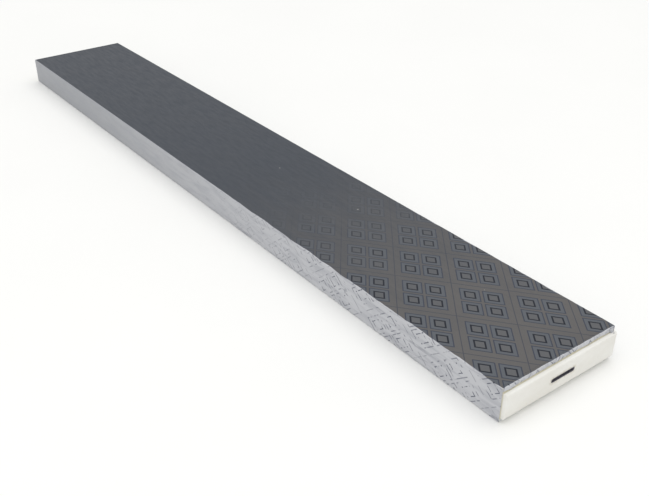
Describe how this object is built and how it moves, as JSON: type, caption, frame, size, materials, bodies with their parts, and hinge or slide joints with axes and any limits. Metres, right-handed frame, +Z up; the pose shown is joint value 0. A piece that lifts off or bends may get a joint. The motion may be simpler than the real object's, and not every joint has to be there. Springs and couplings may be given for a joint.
{
  "type": "insulated sandwich panel",
  "caption": "Cold room panel: thin steel skins folded round a hard foam core, a tongue on one end and a groove on the other, each with a cam lock let in.",
  "frame": {"origin": "on the floor, below the middle of the whole length, tongue included", "axes": "+X along the panel towards the tongue, +Y across its width, +Z up from the back face to the printed face"},
  "size_m": [2.812, 0.4, 0.1],
  "materials": {
    "printed_film_steel": "satin, under a thin printed protective film",
    "plain_steel": "satin grey-white coating",
    "foam": "cream moulded hard foam",
    "lock_steel": "zinc plated sheet",
    "hook_steel": "plated bar"
  },
  "bodies": {
    "panel": {"face_skin": "printed_film_steel", "back_skin": "plain_steel", "foam_core": "foam", "hook_case": "lock_steel", "pin_case": "lock_steel", "lock_pin": "hook_steel"},
    "hook": {"lock_hook": "hook_steel"}
  },
  "joints": [
    {"name": "hook_turn", "type": "hinge", "parent": "panel", "child": "hook", "pos_m": [1.38, 0.014, 0.05], "axis": [0, 0, 1], "range_deg": [0, 145]}
  ]
}
